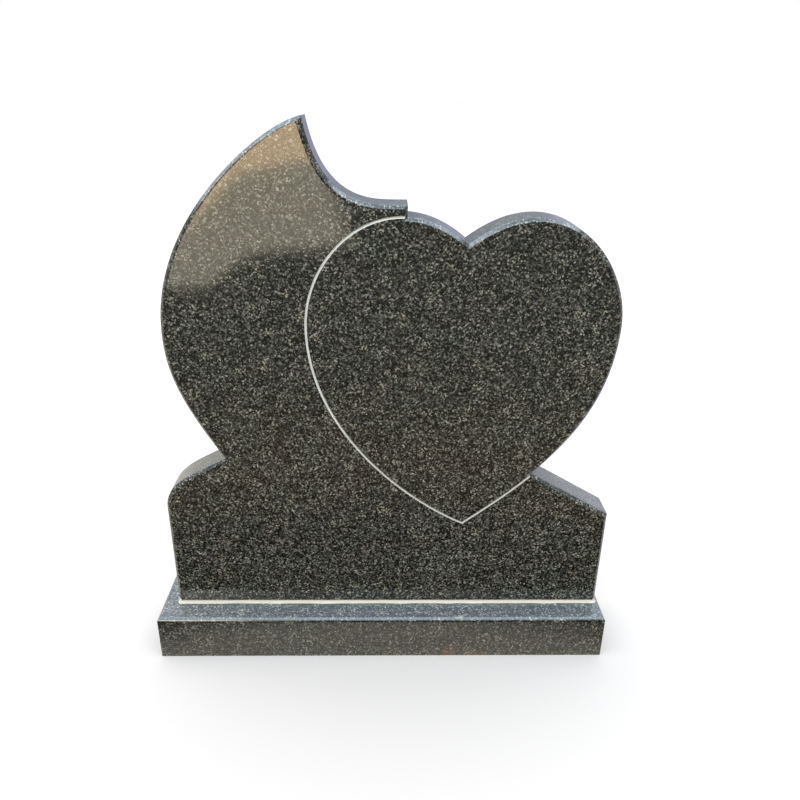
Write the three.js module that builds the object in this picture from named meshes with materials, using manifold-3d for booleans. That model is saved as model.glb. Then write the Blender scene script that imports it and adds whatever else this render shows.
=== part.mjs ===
// Heart headstone: an upright granite slab cut to a crescent and a heart, set on a granite plinth.
// Millimetres. X runs to the viewer's right, Y to the back and Z up.
// The origin is the middle of the plinth's underside.

import * as THREE from 'three';
import { mergeVertices } from 'three/addons/utils/BufferGeometryUtils.js';
import Module from 'manifold-3d';

const point = (x, y) => new THREE.Vector2(x, y);

// Plinth
const plinthWidth = 900;
const plinthDepth = 165;
const plinthHeight = 95;
const plinthArrisWidth = 5;

// Mortar bed between plinth and slab, squeezed out a little at its foot
const bedThickness = 8.5;
const bedInset = 1;
const bedSpread = 3.5;

// Slab
const slabWidth = 857;
const slabHeight = 927;
const slabThickness = 68;
const slabSetback = 48;
const slabShift = 11.5;
const faceArrisWidth = 6;
const backArrisWidth = 3;

// The outline is given in shares of the slab's width, from its middle line, and of its height,
// from its foot. A curve's handles are offsets from its end points.
const share = (across, up) => point(across * slabWidth, up * slabHeight);

// Heart: two halves between the notch and the tip, each through its own widest point
const heartNotch = share(0.1494, 0.7896);
const heartTip = share(0.1663, 0.2028);
const heartHalves = {
  left: {
    widest: share(-0.1721, 0.6305),
    notchHandle: share(-0.154, 0.1187),
    upperHandle: share(0, 0.1521),
    lowerHandle: share(0, -0.2093),
    tipHandle: share(-0.1377, 0.0593),
  },
  right: {
    widest: share(0.4714, 0.6381),
    notchHandle: share(0.1867, 0.1316),
    upperHandle: share(0, 0.1187),
    lowerHandle: share(0, -0.1942),
    tipHandle: share(0.1762, 0.1241),
  },
};

// Crescent: its back rises from the left shoulder to the tip, its hollow ends in a flat horn
const crescent = {
  foot: share(-0.3606, 0.3538),
  footHandle: share(-0.0957, 0.1402),
  lowerHandle: share(0, -0.0593),
  widest: share(-0.4644, 0.6149),
  upperHandle: share(0, 0.2255),
  backTipHandle: share(-0.0513, 0),
  tip: share(-0.1657, 1),
  hollowTipHandle: share(0.028, -0.1305),
  hollowEndHandle: share(-0.0595, 0),
  flatStart: share(-0.0023, 0.8571),
  hornEnd: share(0.0303, 0.8571),
};

// Shoulders: a rounded one at the left, a straight slope at the right
const leftShoulder = {
  edgeEnd: share(-0.5, 0.2357),
  edgeHandle: share(0, 0.0658),
  footHandle: share(-0.0548, -0.0324),
};
const rightCorner = share(0.5, 0.2217);
const rightShoulderPitch = 0.575;

// Groove that draws the side of the heart that lies on the slab
const grooveWidth = 4;
const grooveDepth = 2.5;

// Segments of each long and each short curve
const longCurve = 24;
const shortCurve = 12;

// Gap kept between pieces that touch
const touchGap = 0.3;

const slabFoot = plinthHeight + bedThickness;
const slabFront = -plinthDepth / 2 + slabSetback;

const wasm = await Module();
wasm.setup();

// A cubic curve as points, the start point left out; its handles are offsets from its end points
function curve(start, startHandle, endHandle, end, steps) {
  const leaving = start.clone().add(startHandle);
  const arriving = end.clone().add(endHandle);
  const bezier = new THREE.CubicBezierCurve(start, leaving, arriving, end);
  return bezier.getPoints(steps).slice(1);
}

// Where the segment a-b meets the line through c with direction d
function meet(a, b, c, d) {
  const along = b.clone().sub(a);
  const share = c.clone().sub(a).cross(d) / along.cross(d);
  return a.clone().addScaledVector(along, share);
}

// Parts a run of points where it first crosses the line through c with direction d
function partRun(run, c, d) {
  const side = (p) => Math.sign(p.clone().sub(c).cross(d));
  const after = run.findIndex((p) => side(p) !== side(run[0]));
  const crossing = meet(run[after - 1], run[after], c, d);
  return [[...run.slice(0, after), crossing], [crossing, ...run.slice(after)]];
}

// Moves each point of a run sideways to its left by a distance, with mitred corners
function offsetRun(run, distance, closed) {
  const count = run.length;
  const normalAt = (i) => {
    const a = run[(i + count) % count];
    const b = run[(i + 1) % count];
    return point(a.y - b.y, b.x - a.x).normalize();
  };
  return run.map((p, i) => {
    const before = closed || i > 0 ? normalAt(i - 1) : normalAt(i);
    const after = closed || i < count - 1 ? normalAt(i) : before;
    const mitre = before.clone().add(after);
    return p.clone().addScaledVector(mitre, 2 * distance / mitre.lengthSq());
  });
}

// A closed body from rings of equal length, each at its own depth, capped at both ends
function ringBody(rings, depths) {
  const count = rings[0].length;
  const positions = [];
  rings.forEach((ring, level) => {
    for (const p of ring) positions.push(p.x, depths[level], p.y);
  });
  const faces = [];
  for (let level = 0; level < rings.length - 1; level += 1) {
    for (let i = 0; i < count; i += 1) {
      const a = level * count + i;
      const b = level * count + (i + 1) % count;
      faces.push(a, a + count, b, b, a + count, b + count);
    }
  }
  const lastStart = (rings.length - 1) * count;
  for (const [a, b, c] of THREE.ShapeUtils.triangulateShape(rings[0], [])) faces.push(a, b, c);
  for (const [a, b, c] of THREE.ShapeUtils.triangulateShape(rings.at(-1), [])) {
    faces.push(lastStart + a, lastStart + c, lastStart + b);
  }
  const geometry = new THREE.BufferGeometry();
  geometry.setAttribute('position', new THREE.Float32BufferAttribute(positions, 3));
  geometry.setIndex(faces);
  return geometry;
}

function toSolid(geometry) {
  const bare = geometry.clone();
  bare.deleteAttribute('normal');
  bare.deleteAttribute('uv');
  const merged = mergeVertices(bare, 1e-4);
  return new wasm.Manifold(new wasm.Mesh({
    numProp: 3,
    vertProperties: new Float32Array(merged.attributes.position.array),
    triVerts: new Uint32Array(merged.index.array),
  }));
}

function toGeometry(solid) {
  const mesh = solid.getMesh();
  const geometry = new THREE.BufferGeometry();
  geometry.setAttribute('position', new THREE.BufferAttribute(new Float32Array(mesh.vertProperties), 3));
  geometry.setIndex([...mesh.triVerts]);
  return geometry;
}

// Upper part of a heart half, from the notch to its widest point
function lobe({ widest, notchHandle, upperHandle }) {
  return [heartNotch, ...curve(heartNotch, notchHandle, upperHandle, widest, longCurve)];
}

// Lower part of a heart half, from its widest point to the tip
function longSide({ widest, lowerHandle, tipHandle }) {
  return [widest, ...curve(widest, lowerHandle, tipHandle, heartTip, longCurve)];
}

const leftLobe = lobe(heartHalves.left);
const rightLobe = lobe(heartHalves.right);
const leftSide = longSide(heartHalves.left);
const rightSide = longSide(heartHalves.right);

const rightShoulderSlope = point(-1, rightShoulderPitch);

function leftShoulderCurve() {
  const { edgeEnd, edgeHandle, footHandle } = leftShoulder;
  return [edgeEnd, ...curve(edgeEnd, edgeHandle, footHandle, crescent.foot, shortCurve)];
}

// The last edge before the tip spans two steps, so that it is longer than the tip's arris is wide
function crescentBack() {
  const { foot, footHandle, lowerHandle, widest, upperHandle, backTipHandle, tip } = crescent;
  const lower = curve(foot, footHandle, lowerHandle, widest, shortCurve);
  const upper = curve(widest, upperHandle, backTipHandle, tip, longCurve);
  return [...lower, ...upper.slice(0, -2), tip];
}

function crescentHollow() {
  const { tip, hollowTipHandle, hollowEndHandle, flatStart, hornEnd } = crescent;
  return [...curve(tip, hollowTipHandle, hollowEndHandle, flatStart, shortCurve), hornEnd];
}

const straightUp = point(0, 1);
const [lobeBesideHorn] = partRun(leftLobe, crescent.hornEnd, straightUp);
const [sideAboveShoulder] = partRun(rightSide, rightCorner, rightShoulderSlope);

// Slab outline, walked to the left along the foot and on clockwise, then turned round
const slabOutline = [
  share(-0.5, 0),
  ...leftShoulderCurve(),
  ...crescentBack(),
  ...crescentHollow(),
  ...lobeBesideHorn.toReversed(),
  ...rightLobe.slice(1),
  ...sideAboveShoulder.slice(1),
  rightCorner,
  share(0.5, 0),
].reverse();

// The run of the groove: from the horn's end round the left lobe and the tip to the right shoulder
function grooveRun() {
  const besideHorn = point(crescent.hornEnd.x + grooveWidth, 0);
  const aboveShoulder = point(rightCorner.x, rightCorner.y + grooveWidth);
  const [, lobeOnSlab] = partRun(leftLobe, besideHorn, straightUp);
  const [sideOnSlab] = partRun(rightSide.toReversed(), aboveShoulder, rightShoulderSlope);
  return [...lobeOnSlab, ...leftSide.slice(1), ...sideOnSlab.slice(1)];
}

// A wedge that follows the run, as wide as the groove at the face and sharp at its bottom
function grooveCutter() {
  const run = grooveRun();
  const clear = 1;
  const halfWidth = grooveWidth / 2 * (grooveDepth + clear) / grooveDepth;
  const left = offsetRun(run, halfWidth, false);
  const right = offsetRun(run, -halfWidth, false);
  const positions = [];
  run.forEach((p, i) => {
    positions.push(left[i].x, -clear, left[i].y);
    positions.push(right[i].x, -clear, right[i].y);
    positions.push(p.x, grooveDepth, p.y);
  });
  const faces = [0, 2, 1];
  for (let i = 0; i < run.length - 1; i += 1) {
    for (let k = 0; k < 3; k += 1) {
      const a = 3 * i + k;
      const b = 3 * i + (k + 1) % 3;
      faces.push(a, b, a + 3, b, b + 3, a + 3);
    }
  }
  const end = 3 * (run.length - 1);
  faces.push(end, end + 1, end + 2);
  const geometry = new THREE.BufferGeometry();
  geometry.setAttribute('position', new THREE.Float32BufferAttribute(positions, 3));
  geometry.setIndex(faces);
  return geometry;
}

// The outline moved inwards for an arris; the foot has no arris, so its corners stay down
function arrisedOutline(arrisWidth) {
  const moved = offsetRun(slabOutline, arrisWidth, true);
  return moved.map((p, i) => (slabOutline[i].y === 0 ? point(p.x, 0) : p));
}

function slabGeometry() {
  const inFace = arrisedOutline(faceArrisWidth);
  const inBack = arrisedOutline(backArrisWidth);
  const depths = [0, faceArrisWidth, slabThickness - backArrisWidth, slabThickness];
  const blank = toSolid(ringBody([inFace, slabOutline, slabOutline, inBack], depths));
  return toGeometry(blank.subtract(toSolid(grooveCutter())));
}

// A four-sided block from levels, each a width, a depth and a height, from the bottom up
function levelBlock(levels) {
  const positions = levels.flatMap(([width, depth, z]) => [
    -width / 2, -depth / 2, z,
    width / 2, -depth / 2, z,
    width / 2, depth / 2, z,
    -width / 2, depth / 2, z,
  ]);
  const faces = [0, 2, 1, 0, 3, 2];
  for (let level = 0; level < levels.length - 1; level += 1) {
    for (let i = 0; i < 4; i += 1) {
      const a = 4 * level + i;
      const b = 4 * level + (i + 1) % 4;
      faces.push(a, b, a + 4, b, b + 4, a + 4);
    }
  }
  const top = 4 * (levels.length - 1);
  faces.push(top, top + 1, top + 2, top, top + 2, top + 3);
  const geometry = new THREE.BufferGeometry();
  geometry.setAttribute('position', new THREE.Float32BufferAttribute(positions, 3));
  geometry.setIndex(faces);
  return geometry;
}

const granite = () => new THREE.MeshStandardMaterial({ color: 0x3f3f3c, roughness: 0.12, metalness: 0 });
const mortar = () => new THREE.MeshStandardMaterial({ color: 0xdedacb, roughness: 0.9, metalness: 0 });

function named(name, geometry, material) {
  const flat = geometry.toNonIndexed();
  flat.computeVertexNormals();
  const mesh = new THREE.Mesh(flat, material);
  mesh.name = name;
  return mesh;
}

const plinth = named('plinth', levelBlock([
  [plinthWidth, plinthDepth, 0],
  [plinthWidth, plinthDepth, plinthHeight - plinthArrisWidth],
  [plinthWidth - 2 * plinthArrisWidth, plinthDepth - 2 * plinthArrisWidth, plinthHeight],
]), granite());

const bed = named('mortar_bed', levelBlock([
  [slabWidth + 2 * bedSpread, slabThickness + 2 * bedSpread, touchGap],
  [slabWidth - 2 * bedInset, slabThickness - 2 * bedInset, bedThickness - touchGap],
]), mortar());
bed.position.set(slabShift, slabFront + slabThickness / 2, plinthHeight);

const tablet = named('tablet', slabGeometry(), granite());
tablet.position.set(slabShift, slabFront, slabFoot);

const headstone = new THREE.Group();
headstone.name = 'heart_headstone';
headstone.add(plinth, bed, tablet);

export default headstone;
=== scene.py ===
"""Heart headstone in dark granite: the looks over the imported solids.

Metres. X runs to the viewer's right, Y to the back and Z up; the origin is the middle of the
plinth's underside. The slab's outline is given in shares of the slab's width, from its middle
line, and of its height, from its foot.
"""

import math
import random

import bmesh
import bpy
from mathutils import Matrix, Vector


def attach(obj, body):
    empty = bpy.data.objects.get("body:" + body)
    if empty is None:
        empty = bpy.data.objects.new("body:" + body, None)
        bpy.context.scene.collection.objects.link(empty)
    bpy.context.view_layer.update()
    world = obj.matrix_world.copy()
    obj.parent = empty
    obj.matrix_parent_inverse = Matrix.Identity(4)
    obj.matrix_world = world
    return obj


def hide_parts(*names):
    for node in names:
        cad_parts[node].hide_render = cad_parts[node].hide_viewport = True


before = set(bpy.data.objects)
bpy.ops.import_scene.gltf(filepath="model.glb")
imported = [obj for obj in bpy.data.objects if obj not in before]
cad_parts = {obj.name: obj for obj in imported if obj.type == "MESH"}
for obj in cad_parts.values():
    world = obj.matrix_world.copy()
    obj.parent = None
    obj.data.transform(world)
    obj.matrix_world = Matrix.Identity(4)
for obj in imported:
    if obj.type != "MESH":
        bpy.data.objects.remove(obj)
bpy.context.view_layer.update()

MM = 0.001
SEED = 7

# Plinth
PLINTH_WIDTH = 900 * MM
PLINTH_DEPTH = 165 * MM
PLINTH_HEIGHT = 95 * MM
PLINTH_ARRIS = 5 * MM

# Mortar: a bed a little larger than the slab's foot, with an edge that wanders
BED_THICKNESS = 8.5 * MM
BED_OVERSIZE = 1 * MM
BED_ROUND = 4 * MM
BED_CORNER_STEPS = 6
BED_LONG_STEPS = 160
BED_SHORT_STEPS = 14
BED_SMOOTH_ANGLE = 60
TOUCH_GAP = 0.3 * MM

# The joint's section as (millimetres outwards, share of its height)
JOINT_SECTION = ((1.4, 0), (2.2, 0.07), (2.1, 0.25), (1.5, 0.45), (0.4, 0.62), (-0.7, 0.8), (-1.0, 1.0))
JOINT_INMOST = -1.0 * MM
JOINT_OUTMOST = 3.4 * MM
WAVE_COUNT = 14
WAVE_TURNS = (3, 60)
WAVE_SIZES = (0.2, 1)
WAVE_HEIGHT = 0.16
WAVE_TWIST = 3

# Slab
SLAB_WIDTH = 857 * MM
SLAB_HEIGHT = 927 * MM
SLAB_THICKNESS = 68 * MM
SLAB_SHIFT = 11.5 * MM
SLAB_SETBACK = 48 * MM
SLAB_FRONT = -PLINTH_DEPTH / 2 + SLAB_SETBACK
SLAB_FOOT = PLINTH_HEIGHT + BED_THICKNESS
FACE_ARRIS = 6 * MM
BACK_ARRIS = 3 * MM
ARRIS_ROUND = 2.5 * MM
ARRIS_STEPS = 4
SHADE_MARGIN = 3 * MM

# Groove and its paint
GROOVE_WIDTH = 4 * MM
GROOVE_DEPTH = 1.6 * MM
GROOVE_STEPS = 5
GROOVE_CLEAR = 1 * MM
SHARPEST_MITRE = 0.2

# Segments along the slab's curves and its straight runs
LONG_CURVE = 96
SHORT_CURVE = 48
LEFT_EDGE_STEPS = 16
RIGHT_EDGE_STEPS = 12
SLOPE_STEPS = 8
FOOT_STEPS = 40
HORN_STEPS = 6
HORN_DROP_STEPS = 3

# Granite: the size of a grain, and how far and how finely the grains' borders wander
GRAIN_SIZE = 2.5 * MM
GRAIN_WANDER = 2.4 * MM
GRAIN_WANDER_SIZE = 3.5 * MM

# Kinds of grain as (where it starts, brightness, warmth)
GRAIN_KINDS = (
    (0.0, 0.002, 0.0),
    (0.24, 0.012, 0.0),
    (0.48, 0.041, 0.01),
    (0.74, 0.1, 0.03),
    (0.89, 0.178, 0.03),
    (0.965, 0.28, 0.02),
)
CLUSTER_SIZE = 30 * MM
CLUSTER_SHARE = 0.3
FLECK_SIZE = 1.2 * MM
FLECKS = ((0.25, 0.55), (0.75, 1.45))
TINT_SIZE = 60 * MM
TINTS = ((0.35, (0.96, 1.0, 0.8, 1)), (0.65, (1.07, 0.98, 0.78, 1)))
STONE_IOR = 1.6
POLISHED_ROUGHNESS = 0.06
HONED_EXTRA = 0.13

# How squarely a surface faces forwards where the polish ends and where honed stone begins
POLISH_FACING = (0.8, 0.3)

# What a film of dust adds to the honed stone's colour
SLAB_FILM = (0.055, 0.053, 0.05)
PLINTH_FILM = (0.05, 0.054, 0.058)

# Rust stains low on the plinth's front, as (middle, width, height)
STAINS = ((134 * MM, 40 * MM, 34 * MM), (188 * MM, 62 * MM, 18 * MM))
STAIN_RAGGED = 4 * MM
STAIN_WEAR = (0.38, 0.6)
STAIN_DEPTH = 1 * MM
STAIN_COLOUR = (0.095, 0.036, 0.005, 1)

# Mortar's colours, clean below and yellowish above; the upper colour is also darker, as painted shade
# under the slab's overhang
MORTAR_LOW = (0.59, 0.55, 0.5, 1)
MORTAR_YELLOW_SHADED = (0.46, 0.395, 0.285, 1)
MORTAR_CHANGE = (3 * MM, 8 * MM)
MORTAR_BLOTCH = 14 * MM
MORTAR_BLOTCH_RISE = 4 * MM
MORTAR_GRAIN = 1.5 * MM
MORTAR_BUMP = 0.6 * MM

# Paint: worn and fresh colours, and a darker tone on its lower run
PAINT_WORN = (0.58, 0.565, 0.515, 1)
PAINT_FRESH = (0.66, 0.645, 0.6, 1)
PAINT_WEAR = 20 * MM
PAINT_LOWER_TONE = (0.76, 0.73, 0.69, 1)
PAINT_DARKENING_HEIGHT = (0.25, 0.5)

# Floor
FLOOR_REACH = 40
FLOOR_COLOUR = (0.465, 0.405, 0.358, 1)

# The surroundings' light as (height of the direction, colour)
FRONT_LIGHT = (
    (-1.0, (0.45, 0.42, 0.35)),
    (-0.66, (1.2, 1.12, 0.96)),
    (-0.63, (0.05, 0.05, 0.04)),
    (-0.56, (0.08, 0.07, 0.06)),
    (-0.49, (0.32, 0.22, 0.15)),
    (-0.35, (0.23, 0.23, 0.19)),
    (-0.1, (0.26, 0.27, 0.26)),
    (0.2, (0.35, 0.36, 0.36)),
    (0.45, (0.7, 0.75, 0.8)),
    (0.64, (1.1, 1.25, 1.4)),
    (0.7, (4.4, 5.2, 6.1)),
    (0.82, (5.1, 6.0, 7.0)),
    (0.93, (3.2, 3.8, 4.5)),
    (1.0, (1.9, 2.4, 2.9)),
)
BACK_LIGHT = (
    (-1.0, (0.3, 0.28, 0.25)),
    (-0.3, (0.4, 0.4, 0.42)),
    (0.06, (0.48, 0.48, 0.72)),
    (0.16, (0.22, 0.24, 0.29)),
    (0.3, (0.4, 0.44, 0.5)),
    (0.5, (0.8, 0.88, 1.0)),
    (0.64, (1.3, 1.35, 1.4)),
    (0.75, (3.0, 3.5, 4.0)),
    (0.9, (3.4, 3.9, 4.4)),
    (1.0, (1.9, 2.4, 2.9)),
)
FRONT_TO_BACK = (-0.1, 0.3)

# Glows near the horizon at the back: spans of the direction's Z and X, and colours
GLOW_UP = (0.35, 0.15)
GLOW_LEFT = (-0.25, -0.5)
GLOW_RIGHT = (0.25, 0.5)
GLOW_LEFT_COLOUR = (0.95, 0.89, 0.79, 1)
GLOW_RIGHT_COLOUR = (0.87, 0.88, 1.0, 1)

# Bright sky at the left end of the stone: spans of the direction's X, Z and Y
SIDE_X = (-0.6, -0.75)
SIDE_Z = (0.33, 0.42)
SIDE_Y = (-0.15, 0.0)
SIDE_COLOUR = (4.2, 4.2, 4.4, 1)

# Cloud and strip are placed where directions meet an upright plane in front, as (across, above);
# a direction counts as leading ahead by at least this much
LEAST_AHEAD = 0.001

# Bright cloud in front: spans across and above
CLOUD_LEFT = (-0.5, -0.38)
CLOUD_RIGHT = (-0.22, -0.3)
CLOUD_LOW = (0.58, 0.68)
CLOUD_HIGH = (1.0, 0.88)
CLOUD_COLOUR = (14.0, 14.0, 13.0, 1)

# Sunlit strip of ground in front: its borders, the right one leaning
STRIP_LEFT = (-0.38, -0.33)
STRIP_RIGHT = (-0.085, -0.115)
STRIP_LEAN = 0.243
STRIP_TOP = (0.5, 0.3)

# The strip is hazy from the lower of two lines upwards and sunlit from a second pair upwards;
# a line is (slope, height)
HAZE_LINES = ((0.13, -0.2), (0.786, -0.073))
HAZE_LOWEST = -0.27
HAZE_SOFT = 0.01
HAZE_COLOUR = (2.9, 2.65, 2.05, 1)
SUN_LINES = ((0.2, -0.075), (0.95, 0.07))
SUN_FADE = (-0.3, -0.27)
SUN_SOFT = 0.009
SUN_COLOUR = (7.3, 5.4, 3.3, 1)

# Camera
CAMERA_PLACE = (-0.0006, -1.2236, 1.0816)
CAMERA_LENS = 32.37
CAMERA_SENSOR = 36
CAMERA_PITCH = math.radians(23.91)
CAMERA_YAW = math.radians(1.43)
CAMERA_ROLL = math.radians(-0.88)


def share(across, up):
    return Vector((across * SLAB_WIDTH, up * SLAB_HEIGHT))


NOTCH = share(0.1494, 0.7896)
HEART_TIP = share(0.1663, 0.2028)
LEFT_WIDEST = share(-0.1721, 0.6305)
RIGHT_WIDEST = share(0.4714, 0.6381)
CRESCENT_FOOT = share(-0.3606, 0.3538)
CRESCENT_WIDEST = share(-0.4644, 0.6149)
CRESCENT_TIP = share(-0.1657, 1)
HORN_FLAT_START = share(-0.0023, 0.8571)
HORN_END = share(0.0303, 0.8571)
LEFT_SHOULDER = share(-0.5, 0.2357)
RIGHT_CORNER = share(0.5, 0.2217)
RIGHT_SLOPE = Vector((-1, 0.575))
UPRIGHT = Vector((0, 1))


# plane geometry
def curve(start, start_handle, end_handle, end, steps):
    """A cubic curve as points, both ends in; its handles are offsets from its end points."""
    a, b, c, d = start, start + start_handle, end + end_handle, end
    points = []
    for i in range(steps + 1):
        t = i / steps
        s = 1 - t
        points.append(a * s**3 + b * 3 * s * s * t + c * 3 * s * t * t + d * t**3)
    return points


def cross(a, b):
    return a.x * b.y - a.y * b.x


def meet(a, b, c, d):
    """Where the line through a and b meets the line through c with direction d."""
    along = b - a
    return a + along * (cross(c - a, d) / cross(along, d))


def part_run(run, c, d):
    """Parts a run of points where it first crosses the line through c with direction d."""
    sides = [cross(p - c, d) > 0 for p in run]
    after = next(i for i, side in enumerate(sides) if side != sides[0])
    crossing = meet(run[after - 1], run[after], c, d)
    return run[:after] + [crossing], [crossing] + run[after:]


def straight(a, b, steps):
    return [a.lerp(b, i / steps) for i in range(steps + 1)]


def directions(run):
    """The run's direction at each of its points."""
    last = len(run) - 1
    return [(run[min(i + 1, last)] - run[max(i - 1, 0)]).normalized() for i in range(last + 1)]


def moved_run(run, distance):
    """The run moved to its right by a distance."""
    return [p + Vector((d.y, -d.x)) * distance for p, d in zip(run, directions(run))]


def crossing_of(a, b):
    """Where run a, near its end, meets run b, near its start, as (place in a, place in b, point)."""
    parallel = 1e-16
    slack = 1e-9
    for i in range(len(a) - 2, -1, -1):
        along = a[i + 1] - a[i]
        for j in range(len(b) - 1):
            across = b[j + 1] - b[j]
            turn = cross(along, across)
            if abs(turn) < parallel:
                continue
            s = cross(b[j] - a[i], across) / turn
            t = cross(b[j] - a[i], along) / turn
            if -slack <= s <= 1 + slack and -slack <= t <= 1 + slack:
                return i, j, a[i] + along * s
    return None


def even_run(run, steps):
    """The same run through evenly spaced points."""
    lengths = [0.0]
    for a, b in zip(run, run[1:]):
        lengths.append(lengths[-1] + (b - a).length)
    points = []
    k = 0
    for i in range(steps + 1):
        target = lengths[-1] * i / steps
        while k < len(run) - 2 and lengths[k + 1] < target:
            k += 1
        span = lengths[k + 1] - lengths[k]
        points.append(run[k].lerp(run[k + 1], (target - lengths[k]) / span if span else 0))
    return points


def inset_ring(runs, distance):
    """The closed outline of these runs as one ring, all of it but the last run moved inwards.

    Each run reaches on past its ends, till it meets its neighbours.
    """
    reach = 4 * distance
    moved = []
    for run in runs:
        line = run if run is runs[-1] else moved_run(run, distance)
        d = directions(run)
        if distance:
            line = [line[0] - d[0] * reach] + line + [line[-1] + d[-1] * reach]
        moved.append(line)
    count = len(moved)
    if distance:
        for i in range(count):
            j = (i + 1) % count
            found = crossing_of(moved[i], moved[j])
            if found is None:
                raise ValueError(f"runs {i} and {j} do not meet at {distance}")
            at_i, at_j, p = found
            moved[i] = moved[i][: at_i + 1] + [p]
            moved[j] = [p] + moved[j][at_j + 1 :]
    ring = []
    for run, line in zip(runs, moved):
        ring.extend(even_run(line, len(run) - 1)[:-1])
    return ring


# the slab's outline
def left_lobe():
    return curve(NOTCH, share(-0.154, 0.1187), share(0, 0.1521), LEFT_WIDEST, LONG_CURVE)


def right_lobe():
    return curve(NOTCH, share(0.1867, 0.1316), share(0, 0.1187), RIGHT_WIDEST, LONG_CURVE)


def left_side():
    return curve(LEFT_WIDEST, share(0, -0.2093), share(-0.1377, 0.0593), HEART_TIP, LONG_CURVE)


def right_side():
    return curve(RIGHT_WIDEST, share(0, -0.1942), share(0.1762, 0.1241), HEART_TIP, LONG_CURVE)


def left_shoulder():
    return curve(LEFT_SHOULDER, share(0, 0.0658), share(-0.0548, -0.0324), CRESCENT_FOOT, SHORT_CURVE)


def crescent_back():
    low = curve(CRESCENT_FOOT, share(-0.0957, 0.1402), share(0, -0.0593), CRESCENT_WIDEST, SHORT_CURVE)
    high = curve(CRESCENT_WIDEST, share(0, 0.2255), share(-0.0513, 0), CRESCENT_TIP, LONG_CURVE)
    return low + high[1:]


def crescent_hollow():
    bend = curve(CRESCENT_TIP, share(0.028, -0.1305), share(-0.0595, 0), HORN_FLAT_START, LONG_CURVE)
    return bend + straight(HORN_FLAT_START, HORN_END, HORN_STEPS)[1:]


def slab_runs():
    """The slab's outline as smooth runs between its corners, clockwise, its foot last."""
    foot_left = share(-0.5, 0)
    foot_right = share(0.5, 0)
    lobe = part_run(left_lobe(), HORN_END, UPRIGHT)[0][::-1]
    heart = right_lobe() + part_run(right_side(), RIGHT_CORNER, RIGHT_SLOPE)[0][1:]
    return [
        straight(foot_left, LEFT_SHOULDER, LEFT_EDGE_STEPS) + left_shoulder()[1:],
        crescent_back(),
        crescent_hollow(),
        straight(HORN_END, lobe[0], HORN_DROP_STEPS),
        lobe,
        heart,
        straight(heart[-1], RIGHT_CORNER, SLOPE_STEPS),
        straight(RIGHT_CORNER, foot_right, RIGHT_EDGE_STEPS),
        straight(foot_right, foot_left, FOOT_STEPS),
    ]


def arris_profile(arris):
    """From the face over a rounded arris to the side, as (inset, depth).

    The first and last pairs lie a little way into the face and the side, so that the rounding
    doesn't shade them.
    """
    r = ARRIS_ROUND
    a = r * math.tan(math.pi / 8)
    profile = [(arris + a + SHADE_MARGIN, 0)]
    for k in range(ARRIS_STEPS + 1):
        turn = math.pi / 4 * k / ARRIS_STEPS
        profile.append((arris + a - r * math.sin(turn), r - r * math.cos(turn)))
    for k in range(ARRIS_STEPS + 1):
        turn = math.pi / 4 * (1 + k / ARRIS_STEPS)
        profile.append((r - r * math.sin(turn), arris + a - r * math.cos(turn)))
    profile.append((0, arris + a + SHADE_MARGIN))
    return profile


# meshes
def make_object(name, vertices, faces, material):
    mesh = bpy.data.meshes.new(name)
    mesh.from_pydata(vertices, [], faces)
    mesh.validate()
    shape = bpy.data.objects.new(name, mesh)
    bpy.context.scene.collection.objects.link(shape)
    mesh.materials.append(material)
    return shape


def ring_faces(levels, count):
    """The faces between stacked rings of points, with a cap at each end."""
    faces = []
    for level in range(levels - 1):
        for i in range(count):
            a = level * count + i
            b = level * count + (i + 1) % count
            faces.append((a, b, b + count, a + count))
    faces.append(tuple(range(count))[::-1])
    last = (levels - 1) * count
    faces.append(tuple(last + i for i in range(count)))
    return faces


def outward(shape):
    """Turns all faces of a closed mesh outwards."""
    body = bmesh.new()
    body.from_mesh(shape.data)
    bmesh.ops.recalc_face_normals(body, faces=body.faces)
    body.to_mesh(shape.data)
    body.free()


def smooth(shape, sharp_angle=30):
    for polygon in shape.data.polygons:
        polygon.use_smooth = True
    shape.data.set_sharp_from_angle(angle=math.radians(sharp_angle))


def groove_run():
    """From the horn's end round the left lobe and the heart's tip to the right shoulder."""
    beside_horn = HORN_END + Vector((GROOVE_WIDTH, 0))
    above_shoulder = RIGHT_CORNER + Vector((0, GROOVE_WIDTH))
    lobe = part_run(left_lobe(), beside_horn, UPRIGHT)[1]
    side = part_run(right_side()[::-1], above_shoulder, RIGHT_SLOPE)[0]
    return lobe + left_side()[1:], side


def groove_section():
    """The trough's section as (across, depth), from above the face down and up again."""
    half = GROOVE_WIDTH / 2
    section = [(-half, -GROOVE_CLEAR)]
    for k in range(GROOVE_STEPS + 1):
        turn = math.pi * k / GROOVE_STEPS
        section.append((-half * math.cos(turn), GROOVE_DEPTH * math.sin(turn)))
    section.append((half, -GROOVE_CLEAR))
    return section


def groove_cutter(paint):
    """A rounded trough along the groove's run, open above the face and mitred at the heart's tip."""
    left, right = groove_run()
    run = left + right[1:]
    corner = len(left) - 1
    section = groove_section()
    vertices = []
    for i, (p, way) in enumerate(zip(run, directions(run))):
        stretch = 1.0
        if i == corner:
            before = (run[i] - run[i - 1]).normalized()
            stretch = 1 / max(SHARPEST_MITRE, way.dot(before))
        normal = Vector((way.y, -way.x)) * stretch
        for across, depth in section:
            q = p + normal * across
            vertices.append((q.x, depth, q.y))
    cutter = make_object("groove_cutter", vertices, ring_faces(len(run), len(section)), paint)
    outward(cutter)
    return cutter


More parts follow.
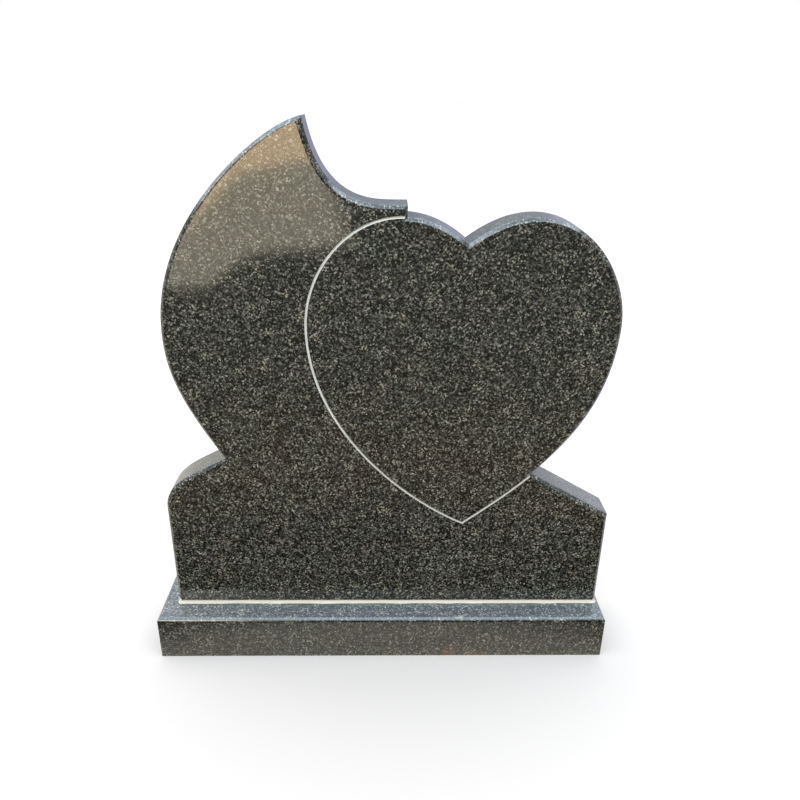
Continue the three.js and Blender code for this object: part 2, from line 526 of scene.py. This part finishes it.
def subtract(shape, cutter):
    """Cuts a closed mesh out of a shape and leaves the cutter's material on the cut."""
    tool = shape.modifiers.new("cut", "BOOLEAN")
    tool.operation = "DIFFERENCE"
    tool.solver = "EXACT"
    tool.material_mode = "TRANSFER"
    tool.object = cutter
    depsgraph = bpy.context.evaluated_depsgraph_get()
    result = bpy.data.meshes.new_from_object(shape.evaluated_get(depsgraph))
    shape.modifiers.clear()
    result.name = shape.name
    shape.data = result
    bpy.data.objects.remove(cutter)


def tablet(stone, paint):
    runs = slab_runs()
    back = SLAB_THICKNESS
    profile = arris_profile(FACE_ARRIS)
    profile += [(0, back - BACK_ARRIS), (BACK_ARRIS, back), (BACK_ARRIS + SHADE_MARGIN, back)]
    vertices = []
    for inset, depth in profile:
        ring = inset_ring(runs, inset)
        vertices += [(p.x, depth, p.y) for p in ring]
    shape = make_object("tablet_stone", vertices, ring_faces(len(profile), len(ring)), stone)
    outward(shape)
    subtract(shape, groove_cutter(paint))
    smooth(shape)
    shape.location = (SLAB_SHIFT, SLAB_FRONT, SLAB_FOOT)
    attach(shape, "root")
    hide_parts("tablet")


def block_rings(levels):
    """A four-sided block from levels of (width, depth, height)."""
    vertices = []
    for width, depth, z in levels:
        for x, y in ((-1, -1), (1, -1), (1, 1), (-1, 1)):
            vertices.append((x * width / 2, y * depth / 2, z))
    return vertices


def plinth(stone):
    levels = [(PLINTH_WIDTH, PLINTH_DEPTH, 0)]
    for inset, drop in reversed(arris_profile(PLINTH_ARRIS)):
        levels.append((PLINTH_WIDTH - 2 * inset, PLINTH_DEPTH - 2 * inset, PLINTH_HEIGHT - drop))
    shape = make_object("plinth_stone", block_rings(levels), ring_faces(len(levels), 4), stone)
    outward(shape)
    smooth(shape)
    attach(shape, "root")
    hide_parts("plinth")


def rounded_edge(width, depth, radius):
    """Round a rectangle with rounded corners, as (point, direction outwards)."""
    edge = []
    corners = ((1, -1), (1, 1), (-1, 1), (-1, -1))
    for i, (x, y) in enumerate(corners):
        centre = Vector((x * (width / 2 - radius), y * (depth / 2 - radius)))
        for k in range(BED_CORNER_STEPS + 1):
            turn = math.pi / 2 * (i - 1 + k / BED_CORNER_STEPS)
            away = Vector((math.cos(turn), math.sin(turn)))
            edge.append((centre + away * radius, away))
        x, y = corners[(i + 1) % 4]
        end = Vector((x * (width / 2 - radius), y * (depth / 2 - radius))) + away * radius
        steps = BED_SHORT_STEPS if i % 2 == 0 else BED_LONG_STEPS
        edge += [(p, away) for p in straight(edge[-1][0], end, steps)[1:-1]]
    return edge


def joint_waves():
    """The waves that the joint's edge wanders by, as (turns, phase, size)."""
    draw = random.Random(SEED)
    waves = []
    for _ in range(WAVE_COUNT):
        waves.append((draw.randint(*WAVE_TURNS), draw.uniform(0, math.tau), draw.uniform(*WAVE_SIZES)))
    return waves


def mortar_bed(mortar):
    """A squeezed-out joint whose edge wanders a little along the slab's foot."""
    edge = rounded_edge(SLAB_WIDTH + BED_OVERSIZE, SLAB_THICKNESS + BED_OVERSIZE, BED_ROUND)
    count = len(edge)
    waves = joint_waves()
    height = BED_THICKNESS - 2 * TOUCH_GAP
    vertices = []
    for out, rise in JOINT_SECTION:
        twist = WAVE_TWIST * rise
        for i, (place, away) in enumerate(edge):
            angle = math.tau * i / count
            wander = sum(size * math.sin(turns * angle + phase + twist) for turns, phase, size in waves)
            reach = out * MM + wander * WAVE_HEIGHT * MM
            p = place + away * max(JOINT_INMOST, min(JOINT_OUTMOST, reach))
            vertices.append((p.x, p.y, rise * height))
    shape = make_object("mortar_joint", vertices, ring_faces(len(JOINT_SECTION), count), mortar)
    outward(shape)
    smooth(shape, BED_SMOOTH_ANGLE)
    shape.location = (SLAB_SHIFT, SLAB_FRONT + SLAB_THICKNESS / 2, PLINTH_HEIGHT + TOUCH_GAP)
    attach(shape, "root")
    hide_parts("mortar_bed")


# materials
class Nodes:
    """Short ways to add nodes to one node tree."""

    def __init__(self, tree):
        self.tree = tree
        tree.nodes.clear()

    def add(self, kind, inputs=None, **settings):
        node = self.tree.nodes.new(kind)
        for key, value in settings.items():
            setattr(node, key, value)
        for key, value in (inputs or {}).items():
            self.feed(node.inputs[key], value)
        return node

    def feed(self, socket, value):
        if isinstance(value, bpy.types.NodeSocket):
            self.tree.links.new(value, socket)
        else:
            socket.default_value = value

    def place(self):
        """The place on the object, which patterns follow."""
        return self.add("ShaderNodeTexCoord").outputs["Object"]

    def math(self, operation, a, b=0.0, c=0.0):
        return self.add("ShaderNodeMath", {0: a, 1: b, 2: c}, operation=operation).outputs[0]

    def product(self, first, *others):
        for other in others:
            first = self.math("MULTIPLY", first, other)
        return first

    def split(self, vector):
        return self.add("ShaderNodeSeparateXYZ", {"Vector": vector}).outputs

    def span(self, value, low, high, soft=True):
        """From 0 at low to 1 at high, level beyond them."""
        kind = "SMOOTHSTEP" if soft else "LINEAR"
        inputs = {"Value": value, "From Min": low, "From Max": high, "To Min": 0.0, "To Max": 1.0}
        return self.add("ShaderNodeMapRange", inputs, interpolation_type=kind).outputs["Result"]

    def mix(self, factor, a, b, blend="MIX"):
        node = self.add("ShaderNodeMix", data_type="RGBA", blend_type=blend)
        self.feed(node.inputs["Factor"], factor)
        self.feed(node.inputs["A"], a)
        self.feed(node.inputs["B"], b)
        return node.outputs["Result"]

    def ramp(self, value, stops, interpolation="LINEAR"):
        node = self.add("ShaderNodeValToRGB", {"Fac": value})
        elements = node.color_ramp.elements
        node.color_ramp.interpolation = interpolation
        while len(elements) < len(stops):
            elements.new(0.5)
        for element, (place, colour) in zip(elements, sorted(stops)):
            element.position = place
            element.color = colour
        return node.outputs["Color"]

    def bands(self, value, stops):
        """Colours that may be brighter than 1, along a value from -1 to 1."""
        top = max(max(colour) for _, colour in stops)
        scaled = [((place + 1) / 2, (*(c / top for c in colour), 1)) for place, colour in stops]
        ramp = self.ramp(self.span(value, -1, 1, soft=False), scaled)
        return self.scaled(ramp, top)

    def scaled(self, vector, factor):
        return self.add("ShaderNodeVectorMath", {0: vector, "Scale": factor}, operation="SCALE").outputs[0]

    def noise(self, vector, size, detail=2.0, roughness=0.5):
        inputs = {"Vector": vector, "Scale": 1 / size, "Detail": detail, "Roughness": roughness}
        return self.add("ShaderNodeTexNoise", inputs)


def grey(value, warmth=0.0):
    return (value * (1 + warmth), value, value * (1 - warmth), 1)


def new_material(name):
    material = bpy.data.materials.new(name)
    material.use_nodes = True
    return material, Nodes(material.node_tree)


def finish_material(nodes, shader):
    nodes.add("ShaderNodeOutputMaterial", {"Surface": shader.outputs["BSDF"]})


def rust_stain(nodes, place, grains):
    """The grains with small ragged stains of rust, low on the plinth's front."""
    axes = nodes.split(place)
    ragged = nodes.noise(place, STAIN_RAGGED, 4, 0.65).outputs["Fac"]
    front = nodes.math("LESS_THAN", axes["Y"], -PLINTH_DEPTH / 2 + STAIN_DEPTH)
    worn = nodes.product(front, nodes.span(ragged, *STAIN_WEAR))
    for middle, width, height in STAINS:
        aside = nodes.math("ABSOLUTE", nodes.math("SUBTRACT", axes["X"], middle))
        across = nodes.span(aside, width / 2, width / 6)
        patch = nodes.product(across, nodes.span(axes["Z"], height, height / 6))
        grains = nodes.mix(nodes.product(patch, worn), grains, STAIN_COLOUR, "ADD")
    return grains


def granite_grains(nodes, place):
    """Angular grains of a few brightnesses, clustered, flecked and slowly changing in tint."""
    warp = nodes.noise(place, GRAIN_WANDER_SIZE, 2).outputs["Color"]
    centred = nodes.add("ShaderNodeVectorMath", {0: warp, 1: (0.5, 0.5, 0.5)}, operation="SUBTRACT")
    shift = nodes.scaled(centred.outputs[0], GRAIN_WANDER)
    warped = nodes.add("ShaderNodeVectorMath", {0: place, 1: shift}).outputs[0]
    cells = nodes.add("ShaderNodeTexVoronoi", {"Vector": warped, "Scale": 1 / GRAIN_SIZE})
    value = nodes.add("ShaderNodeSeparateColor", {"Color": cells.outputs["Color"]})
    cluster = nodes.noise(place, CLUSTER_SIZE, 3).outputs["Fac"]
    pick = nodes.math("ADD", value.outputs["Red"], nodes.product(cluster, CLUSTER_SHARE))
    pick = nodes.math("SUBTRACT", pick, CLUSTER_SHARE / 2)
    kinds = [(start, grey(brightness, warmth)) for start, brightness, warmth in GRAIN_KINDS]
    grains = nodes.ramp(pick, kinds, "CONSTANT")
    fine = nodes.noise(place, FLECK_SIZE, 2).outputs["Fac"]
    flecks = nodes.ramp(fine, [(start, grey(gain)) for start, gain in FLECKS])
    grains = nodes.mix(1.0, grains, flecks, "MULTIPLY")
    tint = nodes.noise(place, TINT_SIZE, 2).outputs["Fac"]
    return nodes.mix(1.0, grains, nodes.ramp(tint, TINTS), "MULTIPLY")


def granite(name, front_gain, side_gain, film, stained=False):
    """Dark speckled granite: polished at the front, honed and a little dusty on its other sides."""
    material, nodes = new_material(name)
    place = nodes.place()
    grains = granite_grains(nodes, place)
    normal = nodes.add("ShaderNodeNewGeometry").outputs["Normal"]
    ahead = nodes.product(nodes.split(normal)["Y"], -1.0)
    side = nodes.span(ahead, *POLISH_FACING)
    honed = nodes.mix(side, grey(front_gain), grey(side_gain))
    grains = nodes.mix(1.0, grains, honed, "MULTIPLY")
    if stained:
        grains = rust_stain(nodes, place, grains)
    colour = nodes.mix(side, grains, (*film, 1), "ADD")
    shader = nodes.add("ShaderNodeBsdfPrincipled", {
        "Base Color": colour,
        "Roughness": nodes.math("MULTIPLY_ADD", side, HONED_EXTRA, POLISHED_ROUGHNESS),
        "IOR": STONE_IOR,
    })
    finish_material(nodes, shader)
    return material


def slab_granite():
    return granite("slab_granite", front_gain=1.0, side_gain=0.5, film=SLAB_FILM)


def plinth_granite():
    return granite("plinth_granite", front_gain=0.75, side_gain=0.95, film=PLINTH_FILM, stained=True)


def mortar_mix():
    """Matt cement mortar, yellowish and darker towards the stone above it; the darkening is painted shade
    under the slab.
    """
    material, nodes = new_material("mortar")
    place = nodes.place()
    blotch = nodes.noise(place, MORTAR_BLOTCH, 4, 0.6).outputs["Fac"]
    height = nodes.math("MULTIPLY_ADD", blotch, MORTAR_BLOTCH_RISE, nodes.split(place)["Z"])
    # painted shade: the mortar turns darker as well as yellowish towards its top, where the slab above
    # shades the joint
    colour = nodes.ramp(nodes.span(height, *MORTAR_CHANGE), [(0.0, MORTAR_LOW), (1.0, MORTAR_YELLOW_SHADED)])
    grain = nodes.noise(place, MORTAR_GRAIN, 3).outputs["Fac"]
    bump = nodes.add("ShaderNodeBump", {"Height": grain, "Strength": 0.4, "Distance": MORTAR_BUMP})
    shader = nodes.add("ShaderNodeBsdfPrincipled", {
        "Base Color": colour,
        "Roughness": 0.9,
        "Normal": bump.outputs["Normal"],
    })
    finish_material(nodes, shader)
    return material


def white_paint():
    """Off-white paint, a little worn, and darker on the lower run of the groove."""
    material, nodes = new_material("white_paint")
    place = nodes.place()
    wear = nodes.noise(place, PAINT_WEAR, 4, 0.6).outputs["Fac"]
    colour = nodes.ramp(wear, [(0.3, PAINT_WORN), (0.65, PAINT_FRESH)])
    # the paint turns darker towards the bottom of the groove's run
    higher_up = nodes.span(nodes.split(place)["Z"], *PAINT_DARKENING_HEIGHT)
    colour = nodes.mix(1.0, colour, nodes.mix(higher_up, PAINT_LOWER_TONE, grey(1.0)), "MULTIPLY")
    shader = nodes.add("ShaderNodeBsdfPrincipled", {"Base Color": colour, "Roughness": 0.5})
    finish_material(nodes, shader)
    return material


# stage, light and camera
def floor():
    """A plain pale floor that takes the shadow but isn't mirrored in the stone."""
    material, nodes = new_material("floor")
    finish_material(nodes, nodes.add("ShaderNodeBsdfDiffuse", {"Color": FLOOR_COLOUR}))
    far = FLOOR_REACH
    ground = make_object("floor", block_rings([(2 * far, 2 * far, 0)]), [(0, 1, 2, 3)], material)
    ground.visible_glossy = False
    ground.visible_diffuse = False


def back_light(nodes, axes):
    """The dimmer light from behind the stone, with a faint glow at each side of the horizon."""
    behind = nodes.bands(axes["Z"], BACK_LIGHT)
    low = nodes.span(axes["Z"], *GLOW_UP)
    behind = nodes.mix(nodes.product(low, nodes.span(axes["X"], *GLOW_LEFT)), behind, GLOW_LEFT_COLOUR)
    return nodes.mix(nodes.product(low, nodes.span(axes["X"], *GLOW_RIGHT)), behind, GLOW_RIGHT_COLOUR)


def cloud_amount(nodes, across, above, in_front):
    """Where the bright cloud in front at the left stands."""
    return nodes.product(
        nodes.span(across, *CLOUD_LEFT),
        nodes.span(across, *CLOUD_RIGHT),
        nodes.span(above, *CLOUD_LOW),
        nodes.span(above, *CLOUD_HIGH),
        in_front,
    )


def lower_line(nodes, across, lines):
    """The lower of two lines, each given as (slope, height)."""
    heights = [nodes.math("MULTIPLY_ADD", across, slope, height) for slope, height in lines]
    return nodes.math("MINIMUM", *heights)


def over_line(nodes, above, line, softness):
    """0 under a line and 1 over it, with a soft border."""
    return nodes.span(nodes.math("SUBTRACT", above, line), -softness, softness)


def sunlit_strip(nodes, across, above, in_front):
    """The lit strip of ground in front at the left, as (amount, colour)."""
    lean = nodes.math("MULTIPLY_ADD", above, STRIP_LEAN, across)
    sides = nodes.product(nodes.span(lean, *STRIP_RIGHT), nodes.span(across, *STRIP_LEFT))
    bound = nodes.product(nodes.span(above, *STRIP_TOP), nodes.product(sides, in_front))
    foot = nodes.math("MAXIMUM", lower_line(nodes, across, HAZE_LINES), HAZE_LOWEST)
    haze = over_line(nodes, above, foot, HAZE_SOFT)
    border = lower_line(nodes, across, SUN_LINES)
    sun = nodes.product(over_line(nodes, above, border, SUN_SOFT), nodes.span(across, *SUN_FADE))
    return nodes.product(bound, haze), nodes.mix(sun, HAZE_COLOUR, SUN_COLOUR)


def background(nodes, colour):
    return nodes.add("ShaderNodeBackground", {"Color": colour, "Strength": 1.0}).outputs[0]


def either(nodes, factor, first, second):
    return nodes.add("ShaderNodeMixShader", {0: factor, 1: first, 2: second}).outputs[0]


def sky():
    """A bright overcast sky over a dark foreground, with a sunlit strip of ground at the left.

    It lights the stone and is mirrored in it, and the camera sees plain white in its place.
    """
    world = bpy.data.worlds.new("sky")
    bpy.context.scene.world = world
    world.use_nodes = True
    nodes = Nodes(world.node_tree)
    axes = nodes.split(nodes.add("ShaderNodeTexCoord").outputs["Generated"])
    ahead = nodes.math("MAXIMUM", nodes.product(axes["Y"], -1.0), LEAST_AHEAD)
    across = nodes.math("DIVIDE", axes["X"], ahead)
    above = nodes.math("DIVIDE", axes["Z"], ahead)
    in_front = nodes.math("LESS_THAN", axes["Y"], 0.0)
    before = nodes.bands(axes["Z"], FRONT_LIGHT)
    base = nodes.mix(nodes.span(axes["Y"], *FRONT_TO_BACK), before, back_light(nodes, axes))
    end = nodes.product(nodes.span(axes["X"], *SIDE_X), nodes.span(axes["Z"], *SIDE_Z))
    base = nodes.mix(nodes.product(end, nodes.span(axes["Y"], *SIDE_Y)), base, SIDE_COLOUR)
    base = nodes.mix(cloud_amount(nodes, across, above, in_front), base, CLOUD_COLOUR)
    strip, lit = sunlit_strip(nodes, across, above, in_front)
    lights = either(nodes, strip, background(nodes, base), background(nodes, lit))
    seen = nodes.add("ShaderNodeLightPath").outputs["Is Camera Ray"]
    mixed = either(nodes, seen, lights, background(nodes, (1, 1, 1, 1)))
    nodes.add("ShaderNodeOutputWorld", {"Surface": mixed})


def camera():
    """A camera from its place, its two angles of view and its roll."""
    cos, sin = math.cos, math.sin
    pitch, yaw, roll = CAMERA_PITCH, CAMERA_YAW, CAMERA_ROLL
    forward = Vector((sin(yaw) * cos(pitch), cos(yaw) * cos(pitch), -sin(pitch)))
    right = Vector((cos(yaw), -sin(yaw), 0))
    down = forward.cross(right)
    right, down = right * cos(roll) + down * sin(roll), down * cos(roll) - right * sin(roll)
    turn = Matrix((right, -down, -forward)).transposed().to_4x4()
    data = bpy.data.cameras.new("camera")
    data.lens = CAMERA_LENS
    data.sensor_width = CAMERA_SENSOR
    eye = bpy.data.objects.new("camera", data)
    eye.matrix_world = Matrix.Translation(CAMERA_PLACE) @ turn
    bpy.context.scene.collection.objects.link(eye)
    bpy.context.scene.camera = eye


tablet(slab_granite(), white_paint())
plinth(plinth_granite())
mortar_bed(mortar_mix())
floor()
sky()
camera()
bpy.context.scene.view_settings.view_transform = "Standard"
